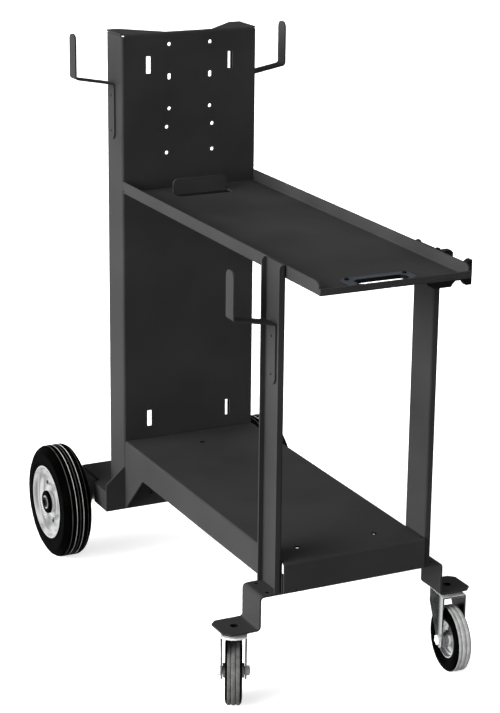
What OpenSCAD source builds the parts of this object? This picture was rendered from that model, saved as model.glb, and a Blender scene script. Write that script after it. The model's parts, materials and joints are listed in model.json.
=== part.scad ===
// Welding cart: a folded steel back panel with a bottle platform, a machine shelf, a bottom tray,
// two posts on a cranked front beam, two swivel casters and two fixed rear wheels on one axle.
// X runs across the cart, -Y is its front, Z is up. The origin is on the floor, midway along the cart.

/* [Folded sheet] */
// Thickness of the folded sheets
sheet_t = 3; // [2:0.5:4]
// Inside radius of their folds
fold_r = 1.5; // [0.5:0.5:2.5]
// Outside width of panel, shelf and tray
cart_w = 264; // [230:1:300]

/* [Back panel] */
// Height of the panel above the bottle platform
panel_h = 850; // [780:1:900]
// Depth of its side and top flanges
panel_flange = 69; // [55:1:80]
// Width of the returns at the rear edges of the side flanges
panel_return = 19; // [12:0.5:24]
// Slit between the top flange and the side flanges
top_slit = 0.8; // [0.3:0.1:2]
// Open corner where two folds meet
corner_relief = 6; // [4:0.5:9]
// Width of the bottle notch at the panel
notch_front_w = 90; // [60:1:120]
// Width of the bottle notch at its open end
notch_rear_w = 220; // [150:1:240]
// Strip that is left between the notch and the panel face
notch_strip = 5; // [5:0.5:12]
// Diameter of the fixing holes in panel face
panel_hole_d = 7; // [4:0.5:8]
// Spacing across of the two upper hole patterns
upper_pattern_w = 80; // [60:1:90]
// Spacing up and down of the two upper hole patterns
upper_pattern_h = 60; // [50:1:75]
// Distance of the first upper pattern below the panel top
first_pattern_drop = 52; // [40:0.5:60]
// Distance of the second upper pattern below the first
second_pattern_drop = 55.5; // [50:0.5:58]
// Spacing across of the lower hole pattern
lower_pattern_w = 90; // [60:1:110]
// Spacing up and down of the lower hole pattern
lower_pattern_h = 47; // [30:1:60]
// Distance of the lower pattern below the panel top
lower_pattern_drop = 194; // [180:0.5:210]
// Width of the strap slots
slot_w = 9.5; // [6:0.5:14]
// Height of the strap slots
slot_h = 31; // [20:1:45]
// Distance between the slot centres across the panel
slot_spacing = 160.5; // [130:0.5:180]
// Depth of the upper slots' centres below the panel top
upper_slot_drop = 57; // [45:0.5:70]
// Height of the lower slots' centres above the tray
lower_slot_rise = 37; // [28:0.5:60]

/* [Machine shelf] */
// Length of the shelf from the panel to its front
shelf_len = 753.5; // [700:0.5:800]
// Clear height between tray and shelf
bay_h = 469; // [420:1:520]
// Height of the side lips, sheet included
shelf_lip = 22.5; // [18:0.5:30]
// Height of the front lip, sheet included
shelf_front_lip = 12; // [8:0.5:15]
// Radius of the side lips' front ends
lip_end_r = 18; // [10:0.5:20]
// Width of the stop tab near the panel
stop_w = 105; // [80:1:130]
// Height of the stop tab above the shelf
stop_h = 26; // [12:0.5:30]
// Radius of the stop tab's corners
stop_r = 10; // [4:0.5:12]
// Distance of the stop tab's front from the panel
stop_back = 45; // [35:1:60]
// Length of the window in front of the stop tab
stop_window = 29; // [22:0.5:34]
// Width of the window beside the stop tab, on each side
stop_slack = 1.5; // [1:0.5:6]
// Diameter of the corner relief holes at the panel
relief_d = 4; // [3:0.5:6]
// Distance of the relief holes from the lips and the panel
relief_inset = 5; // [4.5:0.5:8]

/* [Handle grip] */
// Length of the grip frame across the shelf
grip_w = 120; // [110:1:140]
// Depth of the grip frame along the shelf
grip_d = 56; // [50:1:60]
// Thickness of the grip frame
grip_t = 2.5; // [2:0.5:4]
// Corner radius of the grip frame
grip_r = 9; // [5:0.5:12]
// Length of the finger opening
grip_open_w = 92; // [80:1:94]
// Depth of the finger opening
grip_open_d = 27; // [24:1:30]
// Corner radius of the finger opening
grip_open_r = 12; // [8:0.5:12]
// Wall of the sleeve round the opening
grip_wall = 2.5; // [2:0.5:3]
// Reach of the sleeve below the shelf
grip_sleeve = 6; // [4:0.5:16]
// Distance of the grip from the front lip
grip_front_gap = 5.5; // [4:0.5:10]
// Shift of the grip to the left of the middle
grip_shift = 6; // [0:0.5:8]
// Spacing of its screws across
grip_screw_w = 102; // [100:0.5:103]
// Spacing of its screws along the shelf
grip_screw_d = 38; // [36:0.5:42]

/* [Torch holder] */
// Height of the holder's block
holder_h = 61; // [50:0.5:66]
// Height of the block above the top of the side lip
holder_above_lip = 1; // [0.5:0.5:3.5]
// Thickness of the block outside the lip
holder_block_w = 20.5; // [18:0.5:28]
// Reach of its foot under the shelf
holder_foot_w = 26; // [16:0.5:34]
// Depth of the holder along the shelf
holder_d = 12; // [10:0.5:20]
// Thickness of the boss between holder and post
holder_boss = 10.5; // [10:0.5:14]
// Clear width between block and end cheek
holder_gap = 26; // [20:0.5:32]
// Thickness of the end cheek
holder_cheek_w = 10.5; // [8:0.5:14]
// Height of the end cheek's foot above the block's foot
holder_cheek_rise = 0; // [0:0.5:6]
// Height of the end cheek
holder_cheek_h = 41; // [36:0.5:46]
// Height of the neck between them
holder_neck_h = 14; // [10:0.5:15]
// Height of the neck's underside above the block's foot
holder_neck_rise = 9; // [7:0.5:12]
// Height of the block above its shoulder beside the lip
holder_tower_h = 8.5; // [6:0.5:10]
// Chamfer of the holder's edges
holder_chamfer = 6; // [4:0.5:6]

/* [Bottom tray] */
// Length of the tray from the panel to its front
tray_len = 650; // [600:0.5:680]
// Height of the tray, sheet included
tray_h = 52.5; // [40:0.5:65]
// Inward lip at the foot of the front flange
tray_return = 20; // [12:0.5:30]
// Distance of the slits beside that lip from the middle
tray_slit_x = 106; // [90:1:115]
// Width of those slits
tray_slit_w = 2; // [1.5:0.5:4]
// Height of those slits
tray_slit_h = 6; // [4.5:0.5:8]
// Height of the open corner behind the front flange
tray_corner_h = 20; // [10:1:30]
// Diameter of the fixing holes in the tray
tray_hole_d = 9; // [5:0.5:10]
// Spacing of the two front holes
tray_hole_w = 144; // [110:1:160]
// Shift of the front holes to the left of the middle
tray_hole_shift = 7; // [0:0.5:12]
// Distance of the front holes from the tray front
tray_front_hole = 55; // [30:1:90]
// Distance of the rear hole from the panel
tray_rear_hole = 66; // [40:1:100]
// Shift of the rear hole to the left of the middle
tray_rear_shift = 2.5; // [0:0.5:12]

/* [Posts] */
// Width of the posts along the cart
post_w = 63.5; // [60:0.5:70]
// Strip of the post flanges outside the holder's screw heads
post_edge = 0.5; // [0:0.5:4]
// Distance of the posts behind the tray front
post_setback = 6.5; // [4:0.5:10]
// Height of the flange ends above the shelf lip
post_rise = 1; // [0.5:0.5:8]
// Radius of the flange ends
post_end_r = 7; // [3:0.5:7]

/* [Front beam] */
// Half the width over the beam's risers
riser_x = 170.5; // [160:0.5:185]
// Height of the tray seat above the caster plates
beam_rise = 57; // [50:0.5:70]
// Length of each caster plate outside its riser
plate_len = 60; // [55:0.5:68]
// Inside radius of the beam's bends
beam_r = 5; // [3:0.5:7]
// Chamfer of the plate corners
plate_chamfer = 10; // [5:0.5:14]
// Diameter of the caster holes
caster_hole_d = 13; // [12.5:0.1:14]
// Diameter of the ledge holes beside the posts
ledge_hole_d = 6.5; // [4:0.5:8]
// Spacing of the ledge holes along the cart
ledge_hole_pitch = 40; // [30:1:46]
// Distance of the ledge holes from the middle
ledge_hole_x = 151.5; // [150.5:0.5:154]

/* [Casters] */
// Diameter of the caster wheels
caster_d = 113; // [108:1:118]
// Width of their tyres
caster_w = 29; // [24:0.5:31]
// Width of the flat tread
caster_tread_w = 20; // [14:0.5:22]
// Diameter of their rims
caster_rim_d = 66; // [56:1:74]
// Height of the swivel head's mounting face above the wheel axle
caster_rise = 86.5; // [84:0.5:94]
// Distance of the wheel axle from the swivel axis
caster_trail = 22; // [16:0.5:26]
// Swivel angle of the left caster at rest
left_swivel = -26; // [-90:1:90]
// Swivel angle of the right caster at rest
right_swivel = 174; // [90:1:270]
// Thickness of the fork legs and crown
fork_t = 3; // [2.5:0.5:4]
// Clear width between the fork legs
fork_gap = 37; // [36.5:0.5:42]
// Radius of the fork's crown round the swivel axis
fork_back = 30; // [26:0.5:34]
// Reach of the fork's front edge past the wheel axle
fork_front = 9; // [8:0.5:12]
// Drop of the fork's round ends below the wheel axle
fork_drop = 6; // [0:0.5:8]
// Height of the fork's straight side under its crown
fork_cheek = 22; // [14:0.5:28]
// Diameter of the caster axle bolts
caster_axle_d = 10; // [8:0.5:11]
// Outside diameter of the caster bushes
bush_d = 14; // [13:0.5:16]
// Diameter of the caster hubs
caster_hub_d = 24; // [20:0.5:28]
// Diameter of the swivel races
race_d = 44; // [40:0.5:46]
// Diameter of the swivel balls
ball_d = 4; // [3:0.5:5]
// Outside diameter of the kingpins
kingpin_d = 12.9; // [12.2:0.1:12.9]
// Bore of the kingpins
kingpin_bore = 8; // [5:0.5:9]

/* [Bottle platform] */
// Half the width of the platform at the panel
base_x = 170; // [166:0.5:180]
// Half its width between the rear wheels
base_rear_x = 155; // [140:0.5:156]
// Length of the platform behind the panel face
base_len = 155; // [148:0.5:156]
// Length of its wide part
base_wide_len = 58; // [40:0.5:62]
// Height of the platform's side walls, floor included
base_h = 39; // [34:0.5:45]
// Drop of the platform floor below the tray seat
base_drop = 43; // [38:0.5:50]
// Half the width of the front plate at its top
plate_top_x = 135.5; // [133:0.5:150]
// Height of the front plate's upright ends
plate_end_h = 52.5; // [45:0.5:60]
// Diameter of the front plate's holes
plate_hole_d = 9; // [5:0.5:10]
// Distance of those holes from the middle
plate_hole_x = 80.5; // [60:0.5:100]
// Height of those holes above the plate's lower edge
plate_hole_rise = 26; // [15:0.5:40]
// Length and height of the gussets
gusset_len = 81.5; // [60:0.5:81.5]

/* [Rear wheels] */
// Diameter of the rear wheels
wheel_d = 214; // [200:1:220]
// Width of their tyres
wheel_w = 56; // [48:0.5:60]
// Distance of the tyres' outer faces from the middle
wheel_face_x = 241; // [236:0.5:246]
// Distance of the axle behind the panel face
axle_back = 126; // [120:0.5:130]
// Diameter of the axle
axle_d = 20; // [18:0.5:20]
// Reach of the axle past the tyres' outer faces
axle_proud = 4; // [2:0.5:6]
// Bore of the axle tube
axle_hole_d = 14; // [6:0.5:15]
// Diameter of the rims at their bead
rim_d = 137; // [125:1:145]
// Thickness of the rim halves
rim_t = 2.5; // [2:0.5:3]
// Distance of the rim's bead inside the tyre face
bead_inset = 3.5; // [2:0.5:6]
// Outside diameter of the hub shells
hub_d = 39; // [37:0.5:42]
// Length of the hub shells from the wheel's middle
hub_half = 24; // [18:0.5:26]
// Thickness of the axle brackets
bracket_t = 5; // [4:0.5:5]
// Radius of the bracket round the axle
bracket_r = 20; // [16:0.5:24]
// Length of the bracket's seat on the platform
bracket_seat = 50; // [40:1:56]
// Thickness of the retaining collars
collar_t = 5; // [4:0.5:8]
// Number of rollers in each hub
roller_count = 8; // [6:1:10]
// Diameter of the rollers
roller_d = 5; // [4:0.5:5]
// Number of rivets in each rim
rivet_count = 3; // [3:1:6]
// Diameter of the rivet heads
rivet_d = 9; // [6:0.5:11]

/* [Hooks] */
// Width of the hook strips
hook_w = 27; // [20:0.5:32]
// Reach of the hooks from the surface that carries them
hook_reach = 76; // [60:0.5:90]
// Rise of a hook's arm
hook_rise = 13.5; // [0:0.5:20]
// Height of a hook's upright above its arm
hook_up = 79; // [60:0.5:79]
// Inside radius of the hooks' bends
hook_r = 4; // [3:0.5:6]
// Radius of the hooks' ends
hook_end_r = 11; // [6:0.5:13]
// Distance of the upper screw below the arm
hook_screw_drop = 21.5; // [16:0.5:26]
// Distance between a hook's two screws
hook_screw_pitch = 63; // [50:0.5:70]
// Length of the strip below the lower screw
hook_tail = 15; // [10:0.5:20]
// Distance of the panel hooks behind the panel face
panel_hook_back = 43; // [30:0.5:48]
// Drop of the panel hooks' arms below the panel top
panel_hook_drop = 92.5; // [92.5:0.5:120]
// Drop of the post hook's arm below the shelf
post_hook_drop = 77.5; // [70:0.5:110]
// Shift of the post hook behind the post's middle
post_hook_shift = 5; // [0:0.5:8]

/* [Fasteners and fits] */
// Diameter of the small screws
screw_d = 4; // [3:0.5:5]
// Diameter of their heads
screw_head_d = 7; // [6:0.5:7]
// Height of their heads
screw_head_h = 2.4; // [1.5:0.1:3]
// Diameter of the hook screws' washers
washer_d = 9; // [8:0.5:12]
// Thickness of the hook screws' washers
washer_t = 0.8; // [0.6:0.1:1.6]
// Width across the flats of the axle bolt heads and nuts
axle_nut_af = 16; // [14:0.5:18]
// Height of the axle bolt heads and nuts
axle_nut_h = 5; // [5:0.5:8]
// Radial clearance of the small screws in their holes
screw_fit = 0.2; // [0.1:0.05:0.4]
// Radial running clearance on shafts
run_fit = 0.08; // [0.04:0.01:0.1]
// Gap between pieces that turn past each other
turn_gap = 0.4; // [0.3:0.05:0.6]

/* [Hidden] */
$fn = 64;
over = 1;
bend_steps = 6;
half_w = cart_w / 2;
fold_out = fold_r + sheet_t;
post_d = fold_out + screw_head_d + post_edge;
// Heights, from the floor up
caster_axle_z = caster_d / 2;
caster_top_z = caster_axle_z + caster_rise;
plate_top_z = caster_top_z + sheet_t;
seat_z = plate_top_z + beam_rise;
tray_z = seat_z + tray_h;
shelf_z = tray_z + bay_h;
shelf_top_z = shelf_z + sheet_t;
lip_z = shelf_z + shelf_lip;
floor_z = seat_z - base_drop;
base_low_z = floor_z - base_h;
panel_z = floor_z + panel_h;
axle_z = wheel_d / 2;
// Places along the cart
panel_y = (shelf_len - axle_back - wheel_d / 2) / 2;
shelf_y = panel_y - shelf_len;
tray_y = panel_y - tray_len;
post_y = tray_y + post_setback;
post_mid_y = post_y + post_w / 2;
axle_y = panel_y + axle_back;
base_y = panel_y + base_len;
// Places across the cart
plate_x = riser_x + plate_len;
caster_x = riser_x + plate_len / 2;
wheel_x = wheel_face_x - wheel_w / 2;
axle_half = wheel_face_x + axle_proud;
// Casters
caster_wheel_half = caster_w / 2;
race_t = 2;
race_skirt = 2;
ball_circle = 16;
ball_count = 12;
crown_top_z = caster_top_z - race_t - ball_d - 2 * turn_gap;
crown_z = crown_top_z - fork_t;
pin_head_d = 21;
pin_head_t = 3;
pin_recess = 2.4;
fork_out = fork_gap / 2 + fork_t;
fork_leg_back = sqrt(fork_back * fork_back - fork_out * fork_out);
hub_side_gap = 0.5;
caster_groove_w = 1.6;
caster_groove_d = 1.2;
caster_groove_x = 4;
dish_depth = 6;
web_t = 3;
// Rear wheels
bead_w = 2.2;
bead_x = wheel_w / 2 - bead_inset;
well_drop = 4.5;
well_x = 5;
disc_r = 54;
boss_r = 33;
boss_rise = 9;
rivet_circle = 46;
rivet_head_t = 1.8;
groove_w = 3;
groove_d = 3;
groove_x = 6.5;
shoulder = 9;
hub_bore = hub_d / 2 - rim_t;
wheel_hub_gap = 0.5;
collar_chamfer = 2;
// Screw lengths
hook_screw_recess = 1;
grip_screw_len = 9;
holder_screw_len = 13;
holder_bore_len = holder_screw_len - sheet_t;
socket_share = 0.45;
holder_screw_x = half_w + fold_out + screw_head_d / 2;
holder_screw_high = 14;
holder_screw_low = 47;
grip_x = -grip_shift;
grip_y = shelf_y + sheet_t + grip_front_gap + grip_d / 2;
grip_cut_gap = 0.5;
holder_top_z = lip_z + holder_above_lip;
holder_low_z = holder_top_z - holder_h;
cheek_low_z = holder_low_z + holder_cheek_rise;
bracket_x = base_rear_x;
bracket_front_h = 14;
panel_hook_z = panel_z - panel_hook_drop;
post_hook_z = shelf_z - post_hook_drop;
post_hook_y = post_mid_y + post_hook_shift;
panel_hook_y = panel_y + panel_hook_back;
coat = [0.13, 0.13, 0.135];
zinc = [0.72, 0.73, 0.75];
rubber = [0.05, 0.05, 0.05];
grey_rubber = [0.3, 0.3, 0.3];
plastic = [0.07, 0.07, 0.08];
grip_colour = [0.22, 0.25, 0.28];

// A strip of sheet seen on edge: it follows a path of straight stretches with round bends
function unit(v) = v / norm(v);
function left_of(v) = [-v[1], v[0]];
function turn(a, b) = atan2(a[0] * b[1] - a[1] * b[0], a[0] * b[0] + a[1] * b[1]);
function bend_pts(p, q, s, t, r, side) =
    let (a = unit(q - p), th = turn(a, unit(s - q)), way = sign(th), mid_r = r + t / 2,
        c = q - a * mid_r * tan(abs(th) / 2) + left_of(a) * way * mid_r,
        rad = mid_r - side * way * t / 2,
        start = atan2(-left_of(a)[1] * way, -left_of(a)[0] * way))
    [for (i = [0 : bend_steps])
        let (at = start + th * i / bend_steps)
        c + rad * [cos(at), sin(at)]];
function side_pts(path, t, r, side) =
    let (n = len(path), a = unit(path[1] - path[0]), b = unit(path[n - 1] - path[n - 2]))
    concat([path[0] + left_of(a) * side * t / 2],
        [for (i = [1 : 1 : n - 2]) for (p = bend_pts(path[i - 1], path[i], path[i + 1], t, r, side)) p],
        [path[n - 1] + left_of(b) * side * t / 2]);
function reversed(list) = [for (i = [len(list) - 1 : -1 : 0]) list[i]];
module strip(path, t, r) {
    polygon(concat(side_pts(path, t, r, 1), reversed(side_pts(path, t, r, -1))));
}

// A rectangle with round corners, centred
function round_rect(w, d, r) = [for (k = [0 : 3]) for (i = [0 : bend_steps])
    let (a = 90 * k + 90 * i / bend_steps, sx = (k == 0 || k == 3) ? 1 : -1, sy = k < 2 ? 1 : -1)
    [sx * (w / 2 - r) + r * cos(a), sy * (d / 2 - r) + r * sin(a)]];

// Places a flat outline drawn across and up, and gives it a length along the cart
module along_y(y0, length) {
    translate([0, y0 + length, 0]) rotate([90, 0, 0]) linear_extrude(length) children();
}
// Places a flat outline drawn along and up, and gives it a width across the cart
module along_x(x0, length) {
    translate([x0, 0, 0]) rotate([90, 0, 90]) linear_extrude(length) children();
}
module bore_y(x, y0, z, d, length) {
    translate([x, y0, z]) rotate([-90, 0, 0]) cylinder(d = d, h = length);
}
module bore_x(x0, y, z, d, length) {
    translate([x0, y, z]) rotate([0, 90, 0]) cylinder(d = d, h = length);
}
module bore_z(x, y, z0, d, length) {
    translate([x, y, z0]) cylinder(d = d, h = length);
}

// Back panel: face, side flanges and a top flange with the bottle notch
module panel_face_holes() {
    cut = sheet_t + 2 * over;
    for (sx = [-1, 1]) {
        for (row = [0, 1]) {
            for (drop = [first_pattern_drop, first_pattern_drop + second_pattern_drop])
                bore_y(sx * upper_pattern_w / 2, panel_y - over,
                    panel_z - drop - (row - 0.5) * upper_pattern_h, panel_hole_d, cut);
            bore_y(sx * lower_pattern_w / 2, panel_y - over,
                panel_z - lower_pattern_drop - (row - 0.5) * lower_pattern_h, panel_hole_d, cut);
        }
        for (z = [panel_z - upper_slot_drop, tray_z + lower_slot_rise])
            translate([sx * slot_spacing / 2 - slot_w / 2, panel_y - over, z - slot_h / 2])
                cube([slot_w, cut, slot_h]);
    }
}
module back_panel() {
    inner = half_w - sheet_t / 2;
    rear_mid = panel_y + panel_flange - sheet_t / 2;
    top_mid = panel_z - sheet_t / 2;
    color(coat) difference() {
        union() {
            translate([0, 0, floor_z]) linear_extrude(panel_h - fold_out)
                strip([[-half_w + panel_return, rear_mid], [-inner, rear_mid],
                    [-inner, panel_y + sheet_t / 2], [inner, panel_y + sheet_t / 2],
                    [inner, rear_mid], [half_w - panel_return, rear_mid]], sheet_t, fold_r);
            for (sx = [-1, 1])
                translate([sx * inner - sheet_t / 2, panel_y + fold_out, panel_z - fold_out - over])
                    cube([sheet_t, panel_flange - 2 * fold_out, fold_out + over - sheet_t - top_slit]);
            along_x(-half_w + corner_relief, cart_w - 2 * corner_relief)
                strip([[panel_y + sheet_t / 2, panel_z - fold_out - over], [panel_y + sheet_t / 2, top_mid],
                    [panel_y + fold_out + over, top_mid]], sheet_t, fold_r);
            translate([-half_w, panel_y + fold_out, panel_z - sheet_t])
                cube([cart_w, panel_flange - fold_out, sheet_t]);
        }
        translate([0, 0, panel_z - sheet_t - over / 4]) linear_extrude(sheet_t + over)
            polygon([[-notch_front_w / 2, panel_y + notch_strip],
                [notch_front_w / 2, panel_y + notch_strip],
                [notch_rear_w / 2, panel_y + panel_flange],
                [notch_rear_w / 2, panel_y + panel_flange + over],
                [-notch_rear_w / 2, panel_y + panel_flange + over],
                [-notch_rear_w / 2, panel_y + panel_flange]]);
        panel_face_holes();
        for (sx = [-1, 1])
            hook_bores(sx * inner, panel_hook_y, panel_hook_z);
    }
}

// Machine shelf: side lips and front lip turned up, a stop tab cut from the sheet and the grip's hole
module lip_corner_cut() {
    difference() {
        translate([-half_w - over, shelf_y - over, lip_z - lip_end_r])
            cube([cart_w + 2 * over, lip_end_r + over, lip_end_r + over]);
        translate([-half_w - 2 * over, shelf_y + lip_end_r, lip_z - lip_end_r]) rotate([0, 90, 0])
            cylinder(r = lip_end_r, h = cart_w + 4 * over);
    }
}
module shelf() {
    inner = half_w - sheet_t / 2;
    mid_z = shelf_z + sheet_t / 2;
    color(coat) difference() {
        union() {
            difference() {
                along_y(shelf_y + fold_out, shelf_len - fold_out)
                    strip([[-inner, lip_z], [-inner, mid_z], [inner, mid_z], [inner, lip_z]],
                        sheet_t, fold_r);
                lip_corner_cut();
            }
            along_x(-half_w + corner_relief, cart_w - 2 * corner_relief)
                strip([[shelf_y + fold_out + over, mid_z], [shelf_y + sheet_t / 2, mid_z],
                    [shelf_y + sheet_t / 2, shelf_z + shelf_front_lip]], sheet_t, fold_r);
            along_y(panel_y - stop_back, sheet_t) translate([0, shelf_z + sheet_t / 2]) intersection() {
                translate([0, stop_h / 2 - stop_r])
                    polygon(round_rect(stop_w, stop_h + sheet_t + 2 * stop_r, stop_r));
                translate([-stop_w / 2, 0]) square([stop_w, stop_h + sheet_t]);
            }
        }
        translate([0, panel_y - stop_back, shelf_z - over]) linear_extrude(sheet_t + 2 * over)
            intersection() {
                polygon(round_rect(stop_w + 2 * stop_slack, 2 * stop_window, stop_r));
                translate([-stop_w, -stop_window - over]) square([2 * stop_w, stop_window + over]);
            }
        translate([grip_x, grip_y, shelf_z - over]) linear_extrude(sheet_t + 2 * over)
            polygon(round_rect(grip_open_w + 2 * grip_wall + 2 * grip_cut_gap,
                grip_open_d + 2 * grip_wall + 2 * grip_cut_gap, grip_open_r + grip_wall + grip_cut_gap));
        for (sx = [-1, 1]) {
            for (sy = [-1, 1])
                bore_z(grip_x + sx * grip_screw_w / 2, grip_y + sy * grip_screw_d / 2, shelf_z - over,
                    screw_d + 2 * screw_fit, sheet_t + 2 * over);
            bore_z(sx * (half_w - relief_inset), panel_y - relief_inset, shelf_z - over,
                relief_d, sheet_t + 2 * over);
            bore_x(sx * (half_w - sheet_t / 2) - sheet_t / 2 - over, panel_y - relief_inset,
                shelf_top_z + relief_inset / 2, relief_d, sheet_t + 2 * over);
        }
    }
}

// Grip: a frame on the shelf and a sleeve that lines the finger opening
module handle_grip() {
    color(grip_colour) difference() {
        union() {
            translate([grip_x, grip_y, shelf_top_z]) linear_extrude(grip_t)
                polygon(round_rect(grip_w, grip_d, grip_r));
            translate([grip_x, grip_y, shelf_z - grip_sleeve])
                linear_extrude(grip_sleeve + sheet_t + grip_t / 2)
                    polygon(round_rect(grip_open_w + 2 * grip_wall, grip_open_d + 2 * grip_wall,
                        grip_open_r + grip_wall));
        }
        translate([grip_x, grip_y, shelf_z - grip_sleeve - over])
            linear_extrude(grip_sleeve + sheet_t + grip_t + 2 * over)
                polygon(round_rect(grip_open_w, grip_open_d, grip_open_r));
        for (sx = [-1, 1]) for (sy = [-1, 1])
            bore_z(grip_x + sx * grip_screw_w / 2, grip_y + sy * grip_screw_d / 2, shelf_top_z - over,
                screw_d + 2 * screw_fit, grip_t + 2 * over);
    }
}

// A small screw along +Z with its head on top of the level z = 0
module screw(length) {
    difference() {
        union() {
            cylinder(d = screw_head_d, h = screw_head_h);
            translate([0, 0, -length]) cylinder(d = screw_d, h = length + screw_head_h / 4);
        }
        translate([0, 0, screw_head_h / 2])
            cylinder(d = screw_head_d * socket_share, h = screw_head_h, $fn = 6);
    }
}
module handle_screws() {
    color(zinc) for (sx = [-1, 1]) for (sy = [-1, 1])
        translate([grip_x + sx * grip_screw_w / 2, grip_y + sy * grip_screw_d / 2, shelf_top_z + grip_t])
            screw(grip_screw_len);
}

// Torch holder: a block that seats on the lip and, with a boss, on the post, a neck and an end cheek
module torch_holder() {
    x0 = half_w;
    x1 = half_w + holder_block_w;
    x2 = x1 + holder_gap;
    x3 = x2 + holder_cheek_w;
    foot = half_w - holder_foot_w;
    tower = x0 + sheet_t;
    ch = holder_chamfer;
    bevel = ch * 2 / 3;
    shoulder_z = holder_top_z - holder_tower_h;
    neck_low = holder_low_z + holder_neck_rise;
    neck_top = neck_low + holder_neck_h;
    cheek_top = cheek_low_z + holder_cheek_h;
    color(plastic) difference() {
        union() {
            along_y(post_y - holder_boss, holder_boss)
                translate([tower, neck_low]) square([x1 - bevel - tower, shoulder_z - neck_low]);
            along_y(post_y - holder_boss - holder_d, holder_d)
                polygon([[x0, shelf_z], [foot, shelf_z], [foot, neck_low],
                    [x0 - 2 * ch, holder_low_z], [x1 - bevel / 2, holder_low_z],
                    [x1 + bevel, neck_low - bevel / 2], [x1 + ch, neck_low], [x2 - ch, neck_low],
                    [x2, cheek_low_z], [x3, cheek_low_z], [x3, cheek_top], [x3 - bevel, cheek_top],
                    [x2, cheek_top - bevel], [x2, neck_top + bevel], [x2 - bevel, neck_top],
                    [x1 + bevel, neck_top], [x1, neck_top + bevel], [x1, holder_top_z - bevel],
                    [x1 - bevel, holder_top_z], [tower + bevel / 2, holder_top_z],
                    [tower, holder_top_z - bevel / 2], [tower, shoulder_z], [x0, shoulder_z]]);
        }
        for (drop = [holder_screw_high, holder_screw_low])
            bore_y(holder_screw_x, post_y - holder_bore_len, holder_top_z - drop,
                screw_d, holder_bore_len + over);
    }
}
module torch_holder_screws() {
    color(zinc) for (drop = [holder_screw_high, holder_screw_low])
        translate([holder_screw_x, post_y + sheet_t, holder_top_z - drop]) rotate([-90, 0, 0])
            screw(holder_screw_len);
}

// Bottom tray: a flat sheet with its sides, front and rear turned down
module bottom_tray() {
    inner = half_w - sheet_t / 2;
    mid_z = tray_z - sheet_t / 2;
    side_start = tray_y + fold_out;
    color(coat) difference() {
        union() {
            difference() {
                along_y(side_start, tray_len - 2 * fold_out)
                    strip([[-inner, seat_z], [-inner, mid_z], [inner, mid_z], [inner, seat_z]],
                        sheet_t, fold_r);
                for (sx = [-1, 1])
                    translate([sx * half_w - corner_relief, side_start - over, tray_z - tray_corner_h])
                        cube([2 * corner_relief, corner_relief + over, tray_corner_h + over]);
            }
            along_x(-half_w + corner_relief / 4, cart_w - corner_relief / 2)
                strip([[side_start + over, mid_z], [tray_y + sheet_t / 2, mid_z],
                    [tray_y + sheet_t / 2, seat_z]], sheet_t, fold_r);
            along_x(-tray_slit_x, 2 * tray_slit_x)
                strip([[tray_y + sheet_t / 2, seat_z + tray_h / 2],
                    [tray_y + sheet_t / 2, seat_z + sheet_t / 2],
                    [tray_y + tray_return, seat_z + sheet_t / 2]], sheet_t, fold_r);
            along_x(-half_w + corner_relief, cart_w - 2 * corner_relief)
                strip([[panel_y - fold_out - over, mid_z], [panel_y - sheet_t / 2, mid_z],
                    [panel_y - sheet_t / 2, seat_z]], sheet_t, fold_r);
        }
        for (sx = [-1, 1]) {
            translate([sx * (tray_slit_x + tray_slit_w / 2) - tray_slit_w / 2, tray_y - over, seat_z - over])
                cube([tray_slit_w, fold_out + over, tray_slit_h + over]);
            bore_z(sx * tray_hole_w / 2 - tray_hole_shift, tray_y + tray_front_hole, tray_z - sheet_t - over,
                tray_hole_d, sheet_t + 2 * over);
        }
        bore_z(-tray_rear_shift, panel_y - tray_rear_hole, tray_z - sheet_t - over,
            tray_hole_d, sheet_t + 2 * over);
    }
}

// Posts: channels with their flanges outwards, from the beam to the shelf lip
module post_shape() {
    top = lip_z + post_rise;
    difference() {
        union() {
            translate([0, 0, seat_z]) linear_extrude(lip_z - seat_z)
                strip([[half_w + post_d, post_y + sheet_t / 2], [half_w + sheet_t / 2, post_y + sheet_t / 2],
                    [half_w + sheet_t / 2, post_y + post_w - sheet_t / 2],
                    [half_w + post_d, post_y + post_w - sheet_t / 2]], sheet_t, fold_r);
            for (y = [post_y, post_y + post_w - sheet_t])
                translate([half_w + fold_out, y, lip_z - post_end_r])
                    cube([post_d - fold_out, sheet_t, post_rise + post_end_r]);
        }
        difference() {
            translate([half_w + post_d - post_end_r, post_y - over, top - post_end_r])
                cube([post_end_r + over, post_w + 2 * over, post_end_r + over]);
            bore_y(half_w + post_d - post_end_r, post_y - 2 * over, top - post_end_r,
                2 * post_end_r, post_w + 4 * over);
        }
    }
}
module left_post() {
    color(coat) difference() {
        mirror([1, 0, 0]) post_shape();
        hook_bores(-half_w - sheet_t / 2, post_hook_y, post_hook_z);
    }
}
module right_post() {
    color(coat) difference() {
        post_shape();
        for (drop = [holder_screw_high, holder_screw_low])
            bore_y(holder_screw_x, post_y - over, holder_top_z - drop, screw_d + 2 * screw_fit,
                sheet_t + 2 * over);
    }
}

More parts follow.
